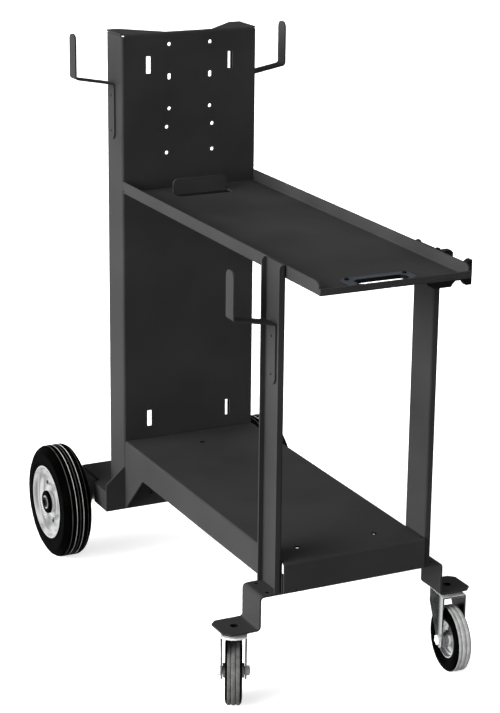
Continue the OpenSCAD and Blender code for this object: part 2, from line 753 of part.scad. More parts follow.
// Front beam: a seat for tray and posts, two risers and two caster plates
module front_beam() {
    riser_mid = riser_x - sheet_t / 2;
    low_mid = caster_top_z + sheet_t / 2;
    high_mid = seat_z - sheet_t / 2;
    color(coat) difference() {
        along_y(post_y, post_w)
            strip([[-plate_x, low_mid], [-riser_mid, low_mid], [-riser_mid, high_mid],
                [riser_mid, high_mid], [riser_mid, low_mid], [plate_x, low_mid]], sheet_t, beam_r);
        for (sx = [-1, 1]) {
            for (y = [post_y, post_y + post_w])
                translate([sx * plate_x, y, caster_top_z - over]) linear_extrude(sheet_t + 2 * over)
                    polygon([[-plate_chamfer, 0], [0, -plate_chamfer],
                        [plate_chamfer, 0], [0, plate_chamfer]]);
            bore_z(sx * caster_x, post_mid_y, caster_top_z - over, caster_hole_d, sheet_t + 2 * over);
            for (sy = [-1, 1])
                bore_z(sx * ledge_hole_x, post_mid_y + sy * ledge_hole_pitch / 2, seat_z - sheet_t - over,
                    ledge_hole_d, sheet_t + 2 * over);
        }
    }
}

// Bottle platform: a floor with its walls turned down, narrower between the wheels
function base_outline(inset) = let (step = base_x - base_rear_x)
    [[-base_x + inset, panel_y + inset], [base_x - inset, panel_y + inset],
    [base_x - inset, panel_y + base_wide_len],
    [base_rear_x - inset, panel_y + base_wide_len + step / 2], [base_rear_x - inset, base_y - inset],
    [-base_rear_x + inset, base_y - inset], [-base_rear_x + inset, panel_y + base_wide_len + step / 2],
    [-base_x + inset, panel_y + base_wide_len]];
module rear_base() {
    color(coat) difference() {
        translate([0, 0, base_low_z]) linear_extrude(base_h) polygon(base_outline(0));
        translate([0, 0, base_low_z - over]) linear_extrude(base_h - sheet_t + over)
            polygon(base_outline(sheet_t));
    }
}
module base_front_plate() {
    color(coat) difference() {
        along_y(panel_y - sheet_t, sheet_t)
            polygon([[-base_x, base_low_z], [base_x, base_low_z], [base_x, base_low_z + plate_end_h],
                [plate_top_x, seat_z], [-plate_top_x, seat_z], [-base_x, base_low_z + plate_end_h]]);
        for (sx = [-1, 1])
            bore_y(sx * plate_hole_x, panel_y - sheet_t - over, base_low_z + plate_hole_rise,
                plate_hole_d, sheet_t + 2 * over);
    }
}
module gussets() {
    y0 = panel_y - sheet_t;
    color(coat) for (sx = [-1, 1])
        along_x(sx * (half_w - sheet_t / 2) - sheet_t / 2, sheet_t)
            polygon([[y0, seat_z], [y0 - gusset_len, seat_z], [y0, seat_z - gusset_len]]);
}

// Brackets that hang from the platform and hold the rear axle
module axle_brackets() {
    color(coat) for (sx = [-1, 1]) difference() {
        along_x(sx * (bracket_x + bracket_t / 2) - bracket_t / 2, bracket_t) union() {
            polygon([[axle_y + bracket_r, axle_z], [axle_y + bracket_r, floor_z - sheet_t],
                [axle_y + bracket_r - bracket_seat - bracket_r, floor_z - sheet_t],
                [axle_y + bracket_r - bracket_seat - bracket_r, floor_z - sheet_t - bracket_front_h],
                [axle_y - bracket_r, axle_z]]);
            translate([axle_y, axle_z]) circle(r = bracket_r);
        }
        bore_x(sx * (bracket_x + bracket_t / 2) - bracket_t / 2 - over, axle_y, axle_z,
            axle_d + 2 * run_fit, bracket_t + 2 * over);
    }
}

// Hooks: a flat strip with a tail on the wall, a rising arm and an upright
module hook_bores(x, y, z) {
    for (drop = [hook_screw_drop, hook_screw_drop + hook_screw_pitch])
        bore_x(x - sheet_t / 2 - over, y, z - drop, screw_d + 2 * screw_fit, sheet_t + 2 * over);
}
module hook_shape(wall_x, y, z) {
    tail = hook_screw_drop + hook_screw_pitch + hook_tail;
    full = tail + hook_rise + hook_up;
    difference() {
        intersection() {
            along_y(y - hook_w / 2, hook_w)
                strip([[wall_x + sheet_t / 2, z - tail], [wall_x + sheet_t / 2, z],
                    [wall_x + hook_reach - sheet_t / 2, z + hook_rise],
                    [wall_x + hook_reach - sheet_t / 2, z + hook_rise + hook_up]], sheet_t, hook_r);
            along_x(wall_x - over, hook_reach + 2 * over)
                translate([y, z - tail + full / 2]) polygon(round_rect(hook_w, full, hook_end_r));
        }
        hook_bores(wall_x + sheet_t / 2, y, z);
    }
}
module left_panel_hook() {
    color(coat) mirror([1, 0, 0]) hook_shape(half_w, panel_hook_y, panel_hook_z);
}
module right_panel_hook() {
    color(coat) hook_shape(half_w, panel_hook_y, panel_hook_z);
}
module post_hook() {
    color(coat) mirror([1, 0, 0]) hook_shape(half_w + sheet_t, post_hook_y, post_hook_z);
}
hook_places = [[1, half_w, panel_hook_y, panel_hook_z], [-1, half_w, panel_hook_y, panel_hook_z],
    [-1, half_w + sheet_t, post_hook_y, post_hook_z]];
// Their screws and washers sit inside the wall that carries them, and end inside the hooks' holes
module at_hook_screws() {
    for (h = hook_places) for (drop = [hook_screw_drop, hook_screw_drop + hook_screw_pitch])
        translate([h[0] * (h[1] - sheet_t), h[2], h[3] - drop]) rotate([0, -h[0] * 90, 0]) children();
}
module hook_screws() {
    color(plastic) at_hook_screws() translate([0, 0, washer_t])
        screw(washer_t + 2 * sheet_t - hook_screw_recess);
}
module hook_washers() {
    color(zinc) at_hook_screws() difference() {
        cylinder(d = washer_d, h = washer_t);
        translate([0, 0, -over]) cylinder(d = screw_d + 2 * screw_fit, h = washer_t + 2 * over);
    }
}

// Rear axle, its spacers and the collars that keep the wheels on
module rear_axle() {
    color(zinc) axle_ring(-axle_half, axle_d, axle_hole_d, 2 * axle_half);
}
module axle_ring(x0, outer, inner, length) {
    difference() {
        bore_x(x0, axle_y, axle_z, outer, length);
        bore_x(x0 - over, axle_y, axle_z, inner, length + 2 * over);
    }
}
module axle_collars() {
    x0 = hub_half + wheel_hub_gap;
    bore = axle_d / 2;
    r = hub_d / 2;
    color(plastic) for (sx = [-1, 1]) wheel_turn(sx)
        polygon([[bore, x0], [r, x0], [r, x0 + collar_t - collar_chamfer],
            [r - collar_chamfer, x0 + collar_t], [bore, x0 + collar_t]]);
}
module axle_spacers() {
    x0 = bracket_x + bracket_t;
    length = wheel_x - hub_half - wheel_hub_gap - x0;
    color(zinc) for (sx = [-1, 1])
        axle_ring(sx * (x0 + length / 2) - length / 2, hub_d, axle_d + 2 * run_fit, length);
}

// Turns an outline drawn as radius and distance from the wheel's middle into a wheel piece
module wheel_turn(sx) {
    translate([sx * wheel_x, axle_y, axle_z]) rotate([0, 90, 0]) mirror([0, 0, sx > 0 ? 0 : 1])
        rotate_extrude($fn = 96) children();
}
module wheel_tyre(sx) {
    r = wheel_d / 2;
    half = wheel_w / 2;
    seat = rim_d / 2;
    well = seat - well_drop;
    color(rubber) wheel_turn(sx)
        polygon([[well, -well_x], [seat, -bead_x], [seat, -half + bead_w], [seat + bead_w, -half],
            [r - 2 * shoulder, -half], [r - shoulder, -half + bead_w],
            [r - bead_w, -half + shoulder - bead_w], [r, -half + shoulder],
            [r, -groove_x - groove_w / 2], [r - groove_d, -groove_x], [r, -groove_x + groove_w / 2],
            [r, groove_x - groove_w / 2], [r - groove_d, groove_x], [r, groove_x + groove_w / 2],
            [r, half - shoulder], [r - bead_w, half - shoulder + bead_w],
            [r - shoulder, half - bead_w], [r - 2 * shoulder, half],
            [seat + bead_w, half], [seat, half - bead_w], [seat, bead_x], [well, well_x]]);
}
// One pressed half of a rim, from its bead down to the disc and out to the hub shell
module rim_half(sx, way) {
    seat = rim_d / 2;
    well = seat - well_drop;
    t = rim_t;
    hub_r = hub_d / 2;
    color(zinc) wheel_turn(sx) mirror([0, way > 0 ? 0 : 1])
        polygon([[well, 0], [well, well_x], [seat, bead_x], [seat, bead_x + bead_w],
            [seat - t, bead_x + bead_w], [seat - t, bead_x], [well - t, well_x + t],
            [disc_r, t], [boss_r, t],
            [hub_r + t, t + boss_rise], [hub_r, hub_half], [hub_r - t, hub_half], [hub_r - t, boss_rise],
            [boss_r - t, 0]]);
}
module rim_rivets(sx) {
    color(zinc) translate([sx * wheel_x, axle_y, axle_z]) for (i = [0 : rivet_count - 1])
        rotate([i * 360 / rivet_count, 0, 0]) translate([0, 0, rivet_circle]) for (way = [-1, 1])
            translate([way * (rim_t + rivet_head_t / 2), 0, 0]) rotate([0, 90, 0])
                cylinder(d = rivet_d, h = rivet_head_t, center = true);
}
module at_rollers(sx) {
    for (i = [0 : roller_count - 1])
        translate([sx * wheel_x, axle_y, axle_z]) rotate([i * 360 / roller_count, 0, 0])
            translate([0, 0, (axle_d / 2 + hub_bore) / 2]) rotate([0, 90, 0]) children();
}
module bearing_cage(sx) {
    length = 2 * (hub_half - rim_t);
    color(plastic) difference() {
        axle_ring(sx * wheel_x - length / 2, 2 * hub_bore, axle_d + 2 * run_fit, length);
        at_rollers(sx) cylinder(d = roller_d + 2 * run_fit, h = length - 4 * rim_t, center = true);
    }
}
module bearing_rollers(sx) {
    length = 2 * (hub_half - rim_t) - 4 * rim_t - 2 * run_fit;
    color(zinc) at_rollers(sx) cylinder(d = roller_d, h = length, center = true);
}

// Casters, drawn round their swivel axis with the wheel axle at +Y
module at_caster(sx) {
    translate([sx * caster_x, post_mid_y, 0]) rotate([0, 0, sx > 0 ? right_swivel : left_swivel]) children();
}
module turned(outer, inner, z0, height) {
    translate([0, 0, z0]) difference() {
        cylinder(d = outer, h = height);
        translate([0, 0, -over]) cylinder(d = inner, h = height + 2 * over);
    }
}
module caster_race(sx) {
    color(zinc) at_caster(sx) {
        turned(race_d, kingpin_d, caster_top_z - race_t, race_t);
        turned(race_d, race_d - 2 * race_skirt, crown_top_z + turn_gap, ball_d + 2 * turn_gap);
    }
}
module caster_kingpin(sx) {
    head_z = crown_z - turn_gap - pin_head_t;
    color(zinc) at_caster(sx) {
        turned(kingpin_d, kingpin_bore, head_z, plate_top_z - pin_recess - head_z);
        turned(pin_head_d, kingpin_bore, head_z, pin_head_t);
    }
}
module caster_balls(sx) {
    color(zinc) at_caster(sx) for (i = [0 : ball_count - 1])
        rotate([0, 0, i * 360 / ball_count])
            translate([ball_circle, 0, crown_top_z + turn_gap + ball_d / 2]) sphere(d = ball_d, $fn = 24);
}
module caster_fork(sx) {
    front_y = caster_trail + fork_front;
    end_z = caster_axle_z - fork_drop;
    color(zinc) at_caster(sx) difference() {
        union() {
            translate([0, 0, crown_z]) linear_extrude(fork_t) intersection() {
                union() {
                    circle(r = fork_back);
                    translate([-fork_out, 0]) square([2 * fork_out, front_y]);
                }
                translate([-fork_out, -fork_back]) square([2 * fork_out, fork_back + front_y]);
            }
            for (side = [-1, 1])
                along_x(side * (fork_out - fork_t / 2) - fork_t / 2, fork_t) union() {
                    polygon([[-fork_leg_back, crown_top_z], [front_y, crown_top_z], [front_y, end_z],
                        [caster_trail - fork_front, end_z], [-fork_leg_back, crown_z - fork_cheek]]);
                    translate([caster_trail, end_z]) circle(r = fork_front);
                }
        }
        translate([0, 0, crown_z - over]) cylinder(d = kingpin_d + 2 * turn_gap, h = fork_t + 2 * over);
        bore_x(-fork_out - over, caster_trail, caster_axle_z, caster_axle_d + 2 * run_fit,
            2 * fork_out + 2 * over);
    }
}
module caster_bolt(sx) {
    shank = 2 * fork_out + axle_nut_h + over;
    color(zinc) at_caster(sx) translate([-fork_out, caster_trail, caster_axle_z]) rotate([0, 90, 0]) {
        translate([0, 0, -axle_nut_h]) cylinder(d = axle_nut_af / cos(30), h = axle_nut_h, $fn = 6);
        translate([0, 0, -over]) cylinder(d = caster_axle_d, h = shank + over);
    }
}
module caster_nut(sx) {
    color(zinc) at_caster(sx) translate([fork_out, caster_trail, caster_axle_z]) rotate([0, 90, 0])
        difference() {
            cylinder(d = axle_nut_af / cos(30), h = axle_nut_h, $fn = 6);
            translate([0, 0, -over]) cylinder(d = caster_axle_d + 2 * run_fit, h = axle_nut_h + 2 * over);
        }
}
module caster_bush(sx) {
    color(zinc) at_caster(sx) translate([-fork_gap / 2, caster_trail, caster_axle_z]) rotate([0, 90, 0])
        turned(bush_d, caster_axle_d + 2 * run_fit, 0, fork_gap);
}
module caster_turn(sx) {
    at_caster(sx) translate([0, caster_trail, caster_axle_z]) rotate([0, 90, 0]) rotate_extrude($fn = 72)
        children();
}
module caster_rim(sx) {
    hub = fork_gap / 2 - hub_side_gap;
    half = caster_tread_w / 2;
    bore = bush_d / 2 + run_fit;
    hub_r = caster_hub_d / 2;
    rim_r = caster_rim_d / 2;
    inner = rim_r - web_t;
    color(zinc) caster_turn(sx)
        polygon([[bore, -hub], [hub_r, -hub], [hub_r, -half + dish_depth - web_t],
            [inner, -half + dish_depth], [inner, -half], [rim_r, -half],
            [rim_r, half], [inner, half], [inner, half - dish_depth],
            [hub_r, half - dish_depth + web_t], [hub_r, hub], [bore, hub]]);
}
module caster_tyre(sx) {
    r = caster_d / 2;
    half = caster_wheel_half;
    tread = caster_tread_w / 2;
    rim_r = caster_rim_d / 2;
    gx = caster_groove_x;
    gw = caster_groove_w / 2;
    gd = caster_groove_d;
    bulge = (r + rim_r) / 2;
    color(grey_rubber) caster_turn(sx)
        polygon([[rim_r, -tread], [rim_r + web_t, -tread - web_t / 2], [bulge, -half],
            [r - web_t, -half + web_t / 2], [r, -tread],
            [r, -gx - gw], [r - gd, -gx], [r, -gx + gw],
            [r, gx - gw], [r - gd, gx], [r, gx + gw],
            [r, tread], [r - web_t, half - web_t / 2],
            [bulge, half], [rim_r + web_t, tread + web_t / 2], [rim_r, tread]]);
}

back_panel();
shelf();
bottom_tray();
left_post();
right_post();
front_beam();
rear_base();
base_front_plate();
gussets();
axle_brackets();
handle_grip();
handle_screws();
torch_holder();
torch_holder_screws();
left_panel_hook();
right_panel_hook();
post_hook();
hook_screws();
hook_washers();
rear_axle();
axle_collars();
axle_spacers();
wheel_tyre(-1);  // left_wheel_tyre
rim_half(-1, 1);  // left_rim_outer
rim_half(-1, -1);  // left_rim_inner
rim_rivets(-1);  // left_rim_rivets
bearing_cage(-1);  // left_bearing_cage
bearing_rollers(-1);  // left_bearing_rollers
wheel_tyre(1);  // right_wheel_tyre
rim_half(1, 1);  // right_rim_outer
rim_half(1, -1);  // right_rim_inner
rim_rivets(1);  // right_rim_rivets
bearing_cage(1);  // right_bearing_cage
bearing_rollers(1);  // right_bearing_rollers
caster_race(-1);  // left_caster_race
caster_kingpin(-1);  // left_caster_kingpin
caster_balls(-1);  // left_caster_balls
caster_fork(-1);  // left_caster_fork
caster_bolt(-1);  // left_caster_bolt
caster_nut(-1);  // left_caster_nut
caster_bush(-1);  // left_caster_bush
caster_rim(-1);  // left_caster_rim
caster_tyre(-1);  // left_caster_tyre
caster_race(1);  // right_caster_race
caster_kingpin(1);  // right_caster_kingpin
caster_balls(1);  // right_caster_balls
caster_fork(1);  // right_caster_fork
caster_bolt(1);  // right_caster_bolt
caster_nut(1);  // right_caster_nut
caster_bush(1);  // right_caster_bush
caster_rim(1);  // right_caster_rim
caster_tyre(1);  // right_caster_tyre
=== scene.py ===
# %% [markdown]
# # Dressing a welding cart
# The cart is folded steel sheet under a black powder coat, on two rubber wheels and two swivel casters.
# Its exact shape arrives as a fixed frame of named nodes. This lesson adds what an exact solid lacks:
# edges that catch the light, turned wheels, moulded plastic, and finishes with grain in them.

# %% Load the frame
import bmesh
import bpy
import json
import math
from mathutils import Matrix, Vector


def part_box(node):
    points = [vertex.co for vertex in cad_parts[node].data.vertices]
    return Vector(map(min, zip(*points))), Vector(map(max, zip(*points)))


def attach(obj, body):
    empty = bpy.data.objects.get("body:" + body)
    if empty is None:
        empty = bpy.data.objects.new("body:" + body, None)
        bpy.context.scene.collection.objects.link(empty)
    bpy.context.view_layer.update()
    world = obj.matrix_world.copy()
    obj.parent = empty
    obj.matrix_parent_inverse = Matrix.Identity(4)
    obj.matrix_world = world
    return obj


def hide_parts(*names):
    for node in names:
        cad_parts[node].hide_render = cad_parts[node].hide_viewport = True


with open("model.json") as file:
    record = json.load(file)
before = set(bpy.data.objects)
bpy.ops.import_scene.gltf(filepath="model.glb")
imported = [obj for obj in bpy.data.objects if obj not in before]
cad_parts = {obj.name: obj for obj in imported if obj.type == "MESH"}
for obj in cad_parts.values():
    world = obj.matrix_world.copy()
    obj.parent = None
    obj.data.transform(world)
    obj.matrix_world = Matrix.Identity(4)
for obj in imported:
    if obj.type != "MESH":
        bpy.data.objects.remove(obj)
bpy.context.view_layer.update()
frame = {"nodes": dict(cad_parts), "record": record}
MM = 0.001

# %% [markdown]
# ## Where the cart's main places are
# Every piece is placed from the frame's own boxes, so nothing has to be fitted by eye. The panel's front
# face, the seat on the beam and the wheels' centres are enough to find the rest.

# %% Places
def middle(node):
    low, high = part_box(node)
    return (Vector(low) + Vector(high)) / 2

panel_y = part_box("back_panel")[0][1]
seat_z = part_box("front_beam")[1][2]
axle = middle("rear_axle")
wheel_x = middle("right_wheel_tyre").x
caster = {side: middle(side + "_caster_tyre") for side in ("left", "right")}
swivel = {"left": math.radians(-26), "right": math.radians(174)}
print("panel", round(panel_y, 4), "seat", round(seat_z, 4), "axle", [round(v, 4) for v in axle])

# %% [markdown]
# ## The camera
# The photograph was taken from the front left, a little above the shelf, through a long lens. The camera
# stands where the edges and holes of the cart line up with it, and it is rolled by two thirds of a degree.

# %% Camera
def photo_camera():
    turn, rise, roll = math.radians(-26.428), math.radians(17.219), math.radians(0.657)
    distance = 3.7428
    focal_px, picture_px, sensor_mm = 2136.8, 713, 36
    back = Vector((math.sin(turn) * math.cos(rise), -math.cos(turn) * math.cos(rise), math.sin(rise)))
    target = Vector((0, panel_y - 0.2553, seat_z + 0.2716))
    right = (-back).cross(Vector((0, 0, 1))).normalized()
    up = right.cross(-back)
    across = right * math.cos(roll) + up * math.sin(roll)
    upright = up * math.cos(roll) - right * math.sin(roll)
    bpy.ops.object.camera_add()
    camera = bpy.context.object
    camera.name = "photo_camera"
    camera.matrix_world = Matrix((across, upright, back)).transposed().to_4x4()
    camera.location = target + back * distance
    camera.data.lens = focal_px / picture_px * sensor_mm
    camera.data.clip_end = 200
    bpy.context.scene.camera = camera
    return camera

photo_camera()
print("camera lens", round(bpy.context.scene.camera.data.lens, 2))

# %% [markdown]
# ## Floor and light
# The cart stands on a plain pale floor before a white background. An even light from the left makes the
# left faces the lightest, and a white sky fills the rest. Shiny metal mirrors a sky with dark walls in it.

# %% Floor
def clear_selection():
    if bpy.context.object and bpy.context.object.mode != "OBJECT":
        bpy.ops.object.mode_set(mode="OBJECT")
    bpy.ops.object.select_all(action="DESELECT")

def studio_floor():
    """A floor that looks nearly white, throws little light back up and isn't mirrored by shiny metal."""
    clear_selection()
    bpy.ops.mesh.primitive_circle_add(vertices=96, radius=30, fill_type="NGON", location=(0, 0, 0))
    floor = bpy.context.object
    floor.name = "studio_floor"
    paint = bpy.data.materials.new("floor_paint")
    paint.use_nodes = True
    tree = paint.node_tree
    seen = tree.nodes["Principled BSDF"]
    seen.inputs["Base Color"].default_value = (0.86, 0.86, 0.86, 1)
    seen.inputs["Roughness"].default_value = 0.9
    seen.inputs["Specular IOR Level"].default_value = 0.0
    seen.inputs["Emission Color"].default_value = (1, 1, 1, 1)
    seen.inputs["Emission Strength"].default_value = 0.62
    dim, unseen = tree.nodes.new("ShaderNodeBsdfDiffuse"), tree.nodes.new("ShaderNodeBsdfTransparent")
    dim.inputs["Color"].default_value = (0.3, 0.3, 0.3, 1)
    path = tree.nodes.new("ShaderNodeLightPath")
    light, whole = tree.nodes.new("ShaderNodeMixShader"), tree.nodes.new("ShaderNodeMixShader")
    for mix, ray, first, second in ((light, "Is Camera Ray", dim, seen), (whole, "Is Glossy Ray", light, unseen)):
        tree.links.new(path.outputs[ray], mix.inputs[0])
        tree.links.new(first.outputs[0], mix.inputs[1])
        tree.links.new(second.outputs[0], mix.inputs[2])
    tree.links.new(whole.outputs[0], tree.nodes["Material Output"].inputs["Surface"])
    floor.data.materials.append(paint)

def soft_sun(name, towards, spread, strength):
    """An even light from one side, as from a wide lit wall, that shiny metal doesn't mirror."""
    bpy.ops.object.light_add(type="SUN", location=Vector(towards) * 5)
    lamp = bpy.context.object
    lamp.name = name
    lamp.data.angle = math.radians(spread)
    lamp.data.energy = strength
    lamp.visible_glossy = False
    lamp.rotation_euler = (-Vector(towards)).to_track_quat("-Z", "Y").to_euler()
    return lamp

def studio_sky(glow, backdrop, bands):
    """A white backdrop, an even glow for matt surfaces, and dark walls that shiny metal mirrors."""
    world = bpy.data.worlds.new("studio_sky")
    bpy.context.scene.world = world
    world.use_nodes = True
    tree = world.node_tree
    tree.nodes.clear()
    out = tree.nodes.new("ShaderNodeOutputWorld")
    path = tree.nodes.new("ShaderNodeLightPath")
    sky = {}
    for name, strength in (("seen", backdrop), ("lit", glow), ("mirrored", 1.0)):
        sky[name] = tree.nodes.new("ShaderNodeBackground")
        sky[name].inputs["Color"].default_value = (1, 1, 1, 1)
        sky[name].inputs["Strength"].default_value = strength
    where = tree.nodes.new("ShaderNodeTexCoord")
    parts = tree.nodes.new("ShaderNodeSeparateXYZ")
    tree.links.new(where.outputs["Generated"], parts.inputs[0])
    turn = tree.nodes.new("ShaderNodeMath")
    turn.operation = "ARCTAN2"
    tree.links.new(parts.outputs["Y"], turn.inputs[0])
    tree.links.new(parts.outputs["X"], turn.inputs[1])
    walls = tree.nodes.new("ShaderNodeValToRGB")
    span = tree.nodes.new("ShaderNodeMapRange")
    span.inputs[1].default_value, span.inputs[2].default_value = -math.pi, math.pi
    tree.links.new(turn.outputs[0], span.inputs[0])
    tree.links.new(span.outputs[0], walls.inputs[0])
    walls.color_ramp.interpolation = "EASE"
    for i, (place, shade) in enumerate(bands):
        stop = walls.color_ramp.elements[i] if i < 2 else walls.color_ramp.elements.new(place)
        stop.position, stop.color = place, (shade, shade, shade, 1)
    tree.links.new(walls.outputs[0], sky["mirrored"].inputs["Color"])
    shiny, final = tree.nodes.new("ShaderNodeMixShader"), tree.nodes.new("ShaderNodeMixShader")
    tree.links.new(path.outputs["Is Glossy Ray"], shiny.inputs[0])
    tree.links.new(sky["lit"].outputs[0], shiny.inputs[1])
    tree.links.new(sky["mirrored"].outputs[0], shiny.inputs[2])
    tree.links.new(path.outputs["Is Camera Ray"], final.inputs[0])
    tree.links.new(shiny.outputs[0], final.inputs[1])
    tree.links.new(sky["seen"].outputs[0], final.inputs[2])
    tree.links.new(final.outputs[0], out.inputs[0])

# Brightness of the mirrored walls by their place round the cart: 0 and 1 are its left, 0.25 its front,
# 0.5 its right and 0.75 its rear.
WALLS = [(0.0, 0.8), (1.0, 0.8), (0.1, 0.95), (0.18, 0.15), (0.34, 0.08), (0.42, 0.6), (0.5, 0.2), (0.6, 0.5),
         (0.7, 0.04), (0.74, 0.04), (0.79, 1.0), (0.83, 0.9), (0.87, 0.2), (0.92, 0.25)]

studio_floor()
soft_sun("left_wall", towards=(-1, 0.0, 0.12), spread=70, strength=16.5)
studio_sky(glow=0.6, backdrop=1.0, bands=WALLS)
bpy.context.scene.view_settings.view_transform = "Standard"

# %% [markdown]
# ## Small tools for modelling
# A piece starts from a primitive that is merged to a single point, and its outline is drawn by extruding
# that point from corner to corner. A wheel or a pin is then spun about its axis, and a flat part is filled
# and given its thickness. That is how both would be drawn by hand, and it keeps every corner where it is
# wanted.

# %% Open and close a piece
def work_on(piece):
    clear_selection()
    piece.select_set(True)
    bpy.context.view_layer.objects.active = piece
    bpy.ops.object.mode_set(mode="EDIT")
    bpy.ops.mesh.select_all(action="DESELECT")

def choose(piece, test):
    """Selects the faces whose middle and direction pass the test, and counts them."""
    shape = bmesh.from_edit_mesh(piece.data)
    count = 0
    for face in shape.faces:
        face.select_set(bool(test(face.calc_center_median(), face.normal)))
        count += face.select
    bmesh.update_edit_mesh(piece.data)
    return count

# %% Draw an outline, spin it or give it a thickness
def eased(outline, steps=4):
    """Replaces every corner that names a radius by a short arc."""
    points = []
    for i, corner in enumerate(outline):
        here = Vector(corner[:2])
        if len(corner) < 3:
            points.append(here)
            continue
        before = Vector(outline[i - 1][:2]) - here
        after = Vector(outline[(i + 1) % len(outline)][:2]) - here
        half = before.angle(after) / 2
        cut = min(corner[2] / math.tan(half), 0.49 * before.length, 0.49 * after.length)
        radius = cut * math.tan(half)
        centre = here + (before.normalized() + after.normalized()).normalized() * radius / math.sin(half)
        start = here + before.normalized() * cut - centre
        end = here + after.normalized() * cut - centre
        for k in range(steps + 1):
            points.append(centre + start.lerp(end, k / steps).normalized() * radius)
    return points

def drawn(name, points):
    clear_selection()
    bpy.ops.mesh.primitive_plane_add(size=MM, location=points[0])
    piece = bpy.context.object
    piece.name = piece.data.name = name
    bpy.ops.object.transform_apply(location=True, rotation=True, scale=True)
    bpy.ops.object.mode_set(mode="EDIT")
    bpy.ops.mesh.merge(type="CENTER")
    for a, b in zip(points, points[1:] + points[:1]):
        bpy.ops.mesh.extrude_region_move(TRANSFORM_OT_translate={"value": Vector(b) - Vector(a)})
    bpy.ops.mesh.select_all(action="SELECT")
    bpy.ops.mesh.remove_doubles(threshold=0.01 * MM)
    return piece

def turned(name, outline, centre, along, steps=96):
    """Spins an outline of radius and distance, in millimetres, about a line through centre."""
    along = Vector(along).normalized()
    start = Vector((0, 0, 1)) if abs(along.z) < 0.5 else Vector((1, 0, 0))
    piece = drawn(name, [centre + (start * p[0] + along * p[1]) * MM for p in eased(outline)])
    bpy.ops.mesh.spin(steps=steps, angle=math.tau, center=centre, axis=along)
    bpy.ops.mesh.select_all(action="SELECT")
    bpy.ops.mesh.remove_doubles(threshold=0.005 * MM)
    bpy.ops.mesh.normals_make_consistent(inside=False)
    bpy.ops.object.mode_set(mode="OBJECT")
    return piece

def cut_out(name, outline, origin, across, upward, depth):
    """Fills an outline given in millimetres across and upward, and gives it a depth."""
    across, upward = Vector(across), Vector(upward)
    piece = drawn(name, [origin + (across * p[0] + upward * p[1]) * MM for p in eased(outline)])
    bpy.ops.mesh.edge_face_add()
    bpy.ops.mesh.extrude_region_move(TRANSFORM_OT_translate={"value": Vector(depth) * MM})
    bpy.ops.mesh.select_all(action="SELECT")
    bpy.ops.mesh.normals_make_consistent(inside=False)
    bpy.ops.object.mode_set(mode="OBJECT")
    return piece

def soften(piece, width, segments=2, angle=30):
    """Bevels the sharp edges, so that they catch the light."""
    work_on(piece)
    bpy.ops.mesh.edges_select_sharp(sharpness=math.radians(angle))
    bpy.ops.mesh.bevel(offset=width * MM, segments=segments, profile=0.5, clamp_overlap=True)
    bpy.ops.object.mode_set(mode="OBJECT")
    return piece

def repaint(piece, material, test):
    """Gives the faces that pass the test a finish of their own."""
    piece.data.materials.append(material)
    work_on(piece)
    count = choose(piece, test)
    piece.active_material_index = len(piece.data.materials) - 1
    bpy.ops.object.material_slot_assign()
    bpy.ops.object.mode_set(mode="OBJECT")
    print(piece.name, material.name, count, "faces")

print("tools ready")

# %% Hand a piece over to the frame
body_of_node = {n: b for b, nodes in frame["record"]["behaviour"]["bodies"].items() for n in nodes}
slot_of_node = {p["node"]: p["material_slot"] for p in frame["record"]["subparts"]}

def hand_over(piece, material, *nodes, body=None, slot=None, angle=35):
    """Shades a finished piece, gives it its finish and puts it in the place of the frame's nodes."""
    clear_selection()
    piece.select_set(True)
    bpy.context.view_layer.objects.active = piece
    bpy.ops.object.shade_smooth_by_angle(angle=math.radians(angle))
    even = piece.modifiers.new("even_normals", "WEIGHTED_NORMAL")
    even.keep_sharp, even.weight = True, 100
    bpy.ops.object.modifier_apply(modifier=even.name)
    if not piece.data.materials:
        piece.data.materials.append(material)
    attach(piece, body or body_of_node[nodes[0]])
    if nodes:
        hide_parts(*nodes)
    print(piece.name, len(piece.data.polygons), "faces")
    return piece

# %% [markdown]
# ## Patterns that several finishes share
# Powder, rubber and plastic all have a fine grain and slow changes of tone, and turned or pressed parts
# have rings round their axle. Each of these patterns is a shader node group, built once. The groups put
# out plain values, and each material decides what they change.

# %% Pattern groups
def pattern_group(name, inputs, outputs):
    group = bpy.data.node_groups.new(name, "ShaderNodeTree")
    for label, kind, start in inputs:
        socket = group.interface.new_socket(name=label, in_out="INPUT", socket_type=kind)
        if start is not None:
            socket.default_value = start
    for label in outputs:
        group.interface.new_socket(name=label, in_out="OUTPUT", socket_type="NodeSocketFloat")
    return group, group.nodes.new("NodeGroupInput"), group.nodes.new("NodeGroupOutput")

def wire(tree, kind, settings=None, **sockets):
    """Adds a node, sets its properties, and fills its sockets, by name or as _NUMBER, with values or links."""
    node = tree.nodes.new(kind)
    for key, value in (settings or {}).items():
        setattr(node, key, value)
    for key, value in sockets.items():
        by_number = key[0] == "_" and key[1:].isdigit()
        socket = node.inputs[int(key[1:]) if by_number else key.replace("_", " ")]
        if isinstance(value, bpy.types.NodeSocket):
            tree.links.new(value, socket)
        else:
            socket.default_value = value
    return node

